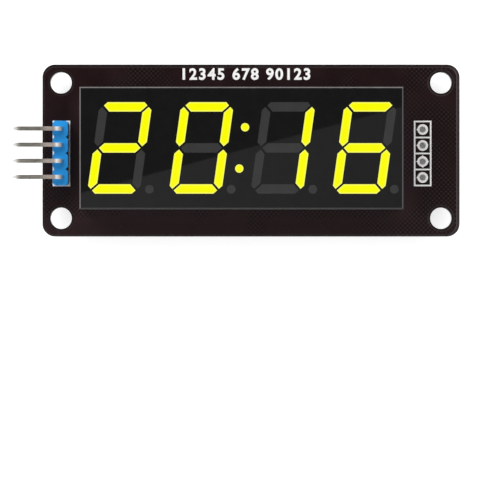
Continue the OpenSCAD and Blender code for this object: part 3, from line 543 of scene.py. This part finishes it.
def pin_material():
    """Tinned metal: pale leads; header pins warm over the board, dull off it, with highlights painted at
    their ends.
    """
    material = metal_material("pin_tin", (0.93, 0.90, 0.87), rough=(0.24, 0.38), patch=1.2 * MM,
                              stretch=LEAD_STRETCH, depth=0.006 * MM, metallic=LEAD_METALLIC)
    graph, shader, leads = reopened(material)
    x, _, z = graph.split(graph.place())
    streaks = graph.span(graph.noise(size=0.5 * MM, detail=3.0, stretch=STREAK_STRETCH), *SOFT)
    dull = graph.blend(streaks, DULL_DARK, DULL_PALE)
    warm = graph.blend(streaks, WARM_DARK, WARM_PALE)
    bright = graph.blend(streaks, PIN_HIGHLIGHT_DARK, PIN_HIGHLIGHT_PALE)
    in_header = graph.math("LESS_THAN", x, HEADER_HIGH.x)
    leads = graph.blend(graph.math("LESS_THAN", x, SMALL_PARTS_X), leads, SMALL_END_COLOR)
    at_tip = graph.math("MULTIPLY", graph.span(x, *AT_TIP), TIP_HIGHLIGHT_SHARE)
    at_bend = graph.math("MULTIPLY", graph.span(x, *AT_BEND), graph.math("GREATER_THAN", z, 0.0))
    pin = graph.blend(graph.span(x, *OFF_BOARD), warm, dull)
    # Highlights painted at the pin's tip and at its bend
    pin = graph.blend(at_tip, pin, bright)
    pin = graph.blend(at_bend, pin, bright)
    graph.put(shader.inputs["Base Color"], graph.blend(in_header, leads, pin))
    away_from_bend = graph.span(at_bend, 0.0, 1.0, HEADER_PIN_METALLIC, 0.0)
    pin_metallic = graph.math("MULTIPLY", in_header, away_from_bend)
    lead_metallic = graph.math("MULTIPLY", graph.math("SUBTRACT", 1.0, in_header), LEAD_METALLIC)
    graph.put(shader.inputs["Metallic"], graph.math("ADD", pin_metallic, lead_metallic))
    return material


# One finish for each material slot of the record
FINISHES = {
    "board": board_material(),
    "tinned_copper": metal_material("tinned_copper", (0.98, 0.97, 0.955), rough=(0.4, 0.6), vary=0.05,
                                    metallic=0.0),
    "white_ink": white_print_material(),
    "grey_ink": grained("grey_print", (0.265, 0.252, 0.248), vary=0.06, patch=0.5 * MM, **INK),
    "yellow_ink": grained("yellow_print", (0.70, 0.79, 0.055), vary=0.05, patch=0.5 * MM, **INK),
    "black_housing": housing_material(),
    "inner_board": grained("inner_board", (0.78, 0.76, 0.68), vary=0.05),
    "dice": grained("dice", (0.70, 0.55, 0.08), vary=0.08, patch=0.2 * MM),
    "dark_resin": resin_material("dark_resin", (0.0345, 0.0345, 0.034)),
    "lit_resin": resin_material("lit_resin", (0.02, 0.02, 0.001), glow=(0.940, 0.955, 0.0)),
    "pin_tin": pin_material(),
    "solder": solder_material(),
    "blue_plastic": grained("blue_plastic", (0.011, 0.330, 0.840), vary=0.08, patch=1.1 * MM,
                            rough=(0.34, 0.46), edge=0.08 * MM),
    "chip_mould": chip_material(),
    "tan_ceramic": grained("tan_ceramic", (0.33, 0.275, 0.225), vary=0.08, patch=0.4 * MM,
                           rough=(0.4, 0.6)),
    "white_ceramic": grained("white_ceramic", (0.72, 0.70, 0.65), vary=0.05, patch=0.4 * MM,
                             rough=(0.3, 0.5)),
    "black_glaze": grained("black_glaze", (0.115, 0.105, 0.092), vary=0.25, patch=0.3 * MM,
                           rough=(0.15, 0.3)),
    "pale_lens": grained("pale_lens", (0.84, 0.82, 0.72), vary=0.04, patch=0.3 * MM,
                         rough=(0.08, 0.16), transmission_weight=0.3),
}

for part in frame["record"]["subparts"]:
    slots = frame["nodes"][part["node"]].data.materials
    slots.clear()
    slots.append(FINISHES[part["material_slot"]])


# Printed numbers

PRINT_T = 0.03 * MM
# Height of this font's figures and the step from one to the next, as shares of the text size
FIGURE_H = 0.729
FIGURE_STEP = 0.636
# How far the figures are thickened, as a share of their height
BOLD, CAPTION_BOLD = 0.03, 0.045
CURVE_PIECES = 6

CAPTION = "12345 678 90123"
CAPTION_L, CAPTION_H = 21.2 * MM, 1.8 * MM
FRONT_CAPTION = (-0.88 * MM, 12.2 * MM)
BACK_CAPTION = (-1.05 * MM, 11.9 * MM)

# One figure beside each hole of the header and of the spare row
ROW_HOLES = 4
ROW_FIGURE_H = 1.15 * MM
SPARE_FIGURE_GAP, HEADER_FIGURE_GAP = 2.85 * MM, 2.9 * MM
HEADER_PITCH = 2.54 * MM

# One figure beside each square of the legend, first the grey ones and then the yellow one
GREY_SQUARES = 4
LEGEND_SIDE = 1.16 * MM
LEGEND_FIGURE_H = 0.95 * MM
LEGEND_FIGURE_GAP = 1.37 * MM

LIGHT_CAPTION = (-18.6 * MM, 5.0 * MM)
LIGHT_CAPTION_H = 0.86 * MM


def add_piece(name, mesh, slot):
    piece = bpy.data.objects.new(name, mesh)
    bpy.context.scene.collection.objects.link(piece)
    mesh.materials.clear()
    mesh.materials.append(FINISHES[slot])
    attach(piece, "root")


def printed(name, text, x, y, height, on_back=False, length=None, turned=False, bold=BOLD):
    """Plain figures in white print on the board, fitted to a length if one is given."""
    curve = bpy.data.curves.new(name, "FONT")
    curve.body = text
    curve.size = height / FIGURE_H
    curve.align_x = "CENTER"
    curve.extrude = PRINT_T / 2
    curve.offset = bold * height
    curve.resolution_u = CURVE_PIECES
    drawn = bpy.data.objects.new(name + "_text", curve)
    bpy.context.scene.collection.objects.link(drawn)
    if length:
        bpy.context.view_layer.update()
        spare_length = length - drawn.dimensions.x
        curve.space_character = 1 + spare_length / (len(text) - 1) / (FIGURE_STEP * curve.size)
    bpy.context.view_layer.update()
    mesh = bpy.data.meshes.new_from_object(drawn.evaluated_get(bpy.context.evaluated_depsgraph_get()))
    bpy.data.objects.remove(drawn)
    mesh.name = name
    facing = -1 if on_back else 1
    surface = BOARD_LOW.z if on_back else BOARD_TOP
    for vertex in mesh.vertices:
        across, up, out = vertex.co.x, vertex.co.y - height / 2, vertex.co.z + PRINT_T / 2
        if turned:
            across, up = -up, across
        vertex.co = Vector((x + facing * across, y + up, surface + facing * out))
    add_piece(name, mesh, "white_ink")


def print_row_figures():
    """The numbers of the spare holes and of the header's pins."""
    header_middle = (HEADER_LOW + HEADER_HIGH) / 2
    for number in range(1, ROW_HOLES + 1):
        spare_x, spare_y, _ = MOUNTS[f"spare_hole_{ROW_HOLES + 1 - number}"]["pos_m"]
        printed(f"spare_row_figure_{number}", str(number), spare_x - SPARE_FIGURE_GAP, spare_y,
                ROW_FIGURE_H, on_back=True)
        header_y = header_middle.y + ((ROW_HOLES + 1) / 2 - number) * HEADER_PITCH
        printed(f"header_figure_{number}", str(number), header_middle.x + HEADER_FIGURE_GAP, header_y,
                ROW_FIGURE_H, on_back=True)


def print_legend_figures():
    """The numbers of the legend's squares."""
    pitch = (LEGEND_HIGH.y - LEGEND_LOW.y - LEGEND_SIDE) / (GREY_SQUARES - 1)
    for number in range(1, GREY_SQUARES + 2):
        y = LEGEND_HIGH.y - LEGEND_SIDE / 2 - (number - 1) * pitch
        printed(f"legend_figure_{number}", str(number), LEGEND_LOW.x - LEGEND_FIGURE_GAP, y,
                LEGEND_FIGURE_H, on_back=True)


printed("front_figures", CAPTION, *FRONT_CAPTION, CAPTION_H, length=CAPTION_L, bold=CAPTION_BOLD)
printed("back_figures", CAPTION, *BACK_CAPTION, CAPTION_H, length=CAPTION_L, bold=CAPTION_BOLD, on_back=True)
print_row_figures()
print_legend_figures()
printed("light_figures", "123", *LIGHT_CAPTION, LIGHT_CAPTION_H, turned=True, on_back=True)


# Stage

# The camera looks straight down, and the board's front fills the same part of the frame as in the photograph
CAMERA_HEIGHT = 435 * MM
CAMERA_X, CAMERA_Y = -0.16 * MM, -15.79 * MM
FRAME_WIDTH = 79.375 * MM
CLIP_START = 10 * MM
# Blender takes the sensor and the lens in millimetres
SENSOR_WIDTH = 36

# Half the side of the floor, in metres
FLOOR_REACH = 4.0
FLOOR_DARK, FLOOR_PALE = (0.56, 0.56, 0.56), (0.59, 0.59, 0.59)
# How far a place on the floor looks for the module, and its glow by the share of open sky that it then sees,
# which paints the module's shadow into the glow
SKY_REACH = 8 * MM
SKY_GLOW = (0.14, 0.25, 0.02, 0.70)

# The face mirrors a card overhead. The card's straight edge crosses the digits on a slant: the camera sees it
# in the face at this point, with this slope
CARD_Z = 600 * MM
CARD_HALF, CARD_DEPTH = 160 * MM, 200 * MM
EDGE_POINT = Vector((-16.48 * MM, -4.23 * MM))
EDGE_SLOPE = 0.268
# How strongly the card glows, from left to right
CARD_GLOW = (-70 * MM, 60 * MM, 0.42, 0.27)

# Soft boxes: where each stands and how wide it is, in metres, and its power in watts
SOFT_BOXES = {
    "key": ((-0.45, 0.50, 0.50), 0.5, 3.0),
    "fill": ((0.58, 0.10, 0.52), 0.6, 1.3),
}

# The room's strength by height, from the horizon at 0 to straight overhead at 1, and how much stronger it is
# towards the far side and the left
ROOM_STRENGTH = (0.62, 0.93, 1.35, 0.06)
LEAN_FAR, LEAN_LEFT = 0.4, 0.3

WHITE = (1.0, 1.0, 1.0, 1.0)


def floor_material():
    """White paper. Seen straight or in a mirror it glows a little, save where the module stands over it: a
    painted shadow.
    """
    material, graph, shader = new_material("stage_paper", roughness=0.9, specular_ior_level=0.0)
    fibre = graph.span(graph.noise(size=1.5 * MM, detail=4.0), *SOFT)
    graph.put(shader.inputs["Base Color"], graph.blend(fibre, FLOOR_DARK, FLOOR_PALE))
    path = graph.add("ShaderNodeLightPath").outputs
    seen = graph.math("MAXIMUM", path["Is Camera Ray"], path["Is Glossy Ray"])
    seen = graph.math("MAXIMUM", seen, path["Is Transmission Ray"])
    open_sky = graph.add("ShaderNodeAmbientOcclusion", {"Distance": SKY_REACH}, samples=16).outputs["AO"]
    shader.inputs["Emission Color"].default_value = WHITE
    # The glow fades where the module covers the sky: a painted shadow
    glow = graph.math("MULTIPLY", seen, graph.span(open_sky, *SKY_GLOW))
    graph.put(shader.inputs["Emission Strength"], glow)
    return material


def card_material():
    """A plain glowing card, whose strength runs from left to right."""
    material = bpy.data.materials.new("stage_card")
    material.use_nodes = True
    graph = Graph(material.node_tree)
    graph.tree.nodes.remove(graph.tree.nodes["Principled BSDF"])
    strength = graph.span(graph.split(graph.place())[0], *CARD_GLOW)
    glow = graph.add("ShaderNodeEmission", {"Strength": strength}).outputs[0]
    graph.put(graph.tree.nodes["Material Output"].inputs["Surface"], glow)
    return material


def stage_plane(name, corners, material):
    mesh = bpy.data.meshes.new(name)
    mesh.from_pydata(corners, [], [(0, 1, 2, 3)])
    mesh.materials.append(material)
    plane = bpy.data.objects.new(name, mesh)
    bpy.context.scene.collection.objects.link(plane)


def add_floor():
    floor_z = cad_box[0].z
    square = ((-FLOOR_REACH, -FLOOR_REACH), (FLOOR_REACH, -FLOOR_REACH),
              (FLOOR_REACH, FLOOR_REACH), (-FLOOR_REACH, FLOOR_REACH))
    stage_plane("floor", [(x, y, floor_z) for x, y in square], floor_material())


def add_camera():
    data = bpy.data.cameras.new("camera")
    camera = bpy.data.objects.new("camera", data)
    bpy.context.scene.collection.objects.link(camera)
    bpy.context.scene.camera = camera
    camera.location = (CAMERA_X, CAMERA_Y, BOARD_TOP + CAMERA_HEIGHT)
    data.sensor_width = SENSOR_WIDTH
    data.lens = SENSOR_WIDTH * CAMERA_HEIGHT / FRAME_WIDTH
    data.clip_start = CLIP_START


def add_card():
    """The card overhead, placed so that its edge shows in the face where the photograph has it."""
    eye = Vector((CAMERA_X, CAMERA_Y))
    reach = (CARD_Z - FACE_Z) / (BOARD_TOP + CAMERA_HEIGHT - FACE_Z)
    start = EDGE_POINT + (EDGE_POINT - eye) * reach
    run = Vector((1, EDGE_SLOPE)).normalized()
    side = Vector((run.y, -run.x))
    left, right = start - run * CARD_HALF, start + run * CARD_HALF
    corners = [left, right, right + side * CARD_DEPTH, left + side * CARD_DEPTH]
    stage_plane("gloss_card", [(corner.x, corner.y, CARD_Z) for corner in corners], card_material())


def add_soft_box(name, place, width, power):
    light = bpy.data.lights.new(name, "AREA")
    light.shape = "RECTANGLE"
    light.size = width
    light.size_y = width
    light.energy = power
    lamp = bpy.data.objects.new(name, light)
    bpy.context.scene.collection.objects.link(lamp)
    lamp.location = place
    lamp.rotation_euler = (-Vector(place)).to_track_quat("-Z", "Y").to_euler()


def light_world():
    """A pale room, brighter at the back left, and dark straight overhead, so that black gloss stays black."""
    world = bpy.data.worlds.new("pale_room")
    bpy.context.scene.world = world
    world.use_nodes = True
    graph = Graph(world.node_tree)
    x, y, z = graph.split(graph.add("ShaderNodeTexCoord").outputs["Generated"])
    ring = graph.span(z, *ROOM_STRENGTH, smooth=True)
    lean = graph.math("SUBTRACT", graph.math("MULTIPLY", y, LEAN_FAR), graph.math("MULTIPLY", x, LEAN_LEFT))
    shader = graph.tree.nodes["Background"]
    shader.inputs["Color"].default_value = WHITE
    graph.put(shader.inputs["Strength"], graph.math("MULTIPLY", ring, graph.math("ADD", lean, 1.0)))


add_floor()
add_camera()
add_card()
for soft_box, setting in SOFT_BOXES.items():
    add_soft_box(soft_box, *setting)
light_world()
bpy.context.scene.view_settings.view_transform = "Standard"
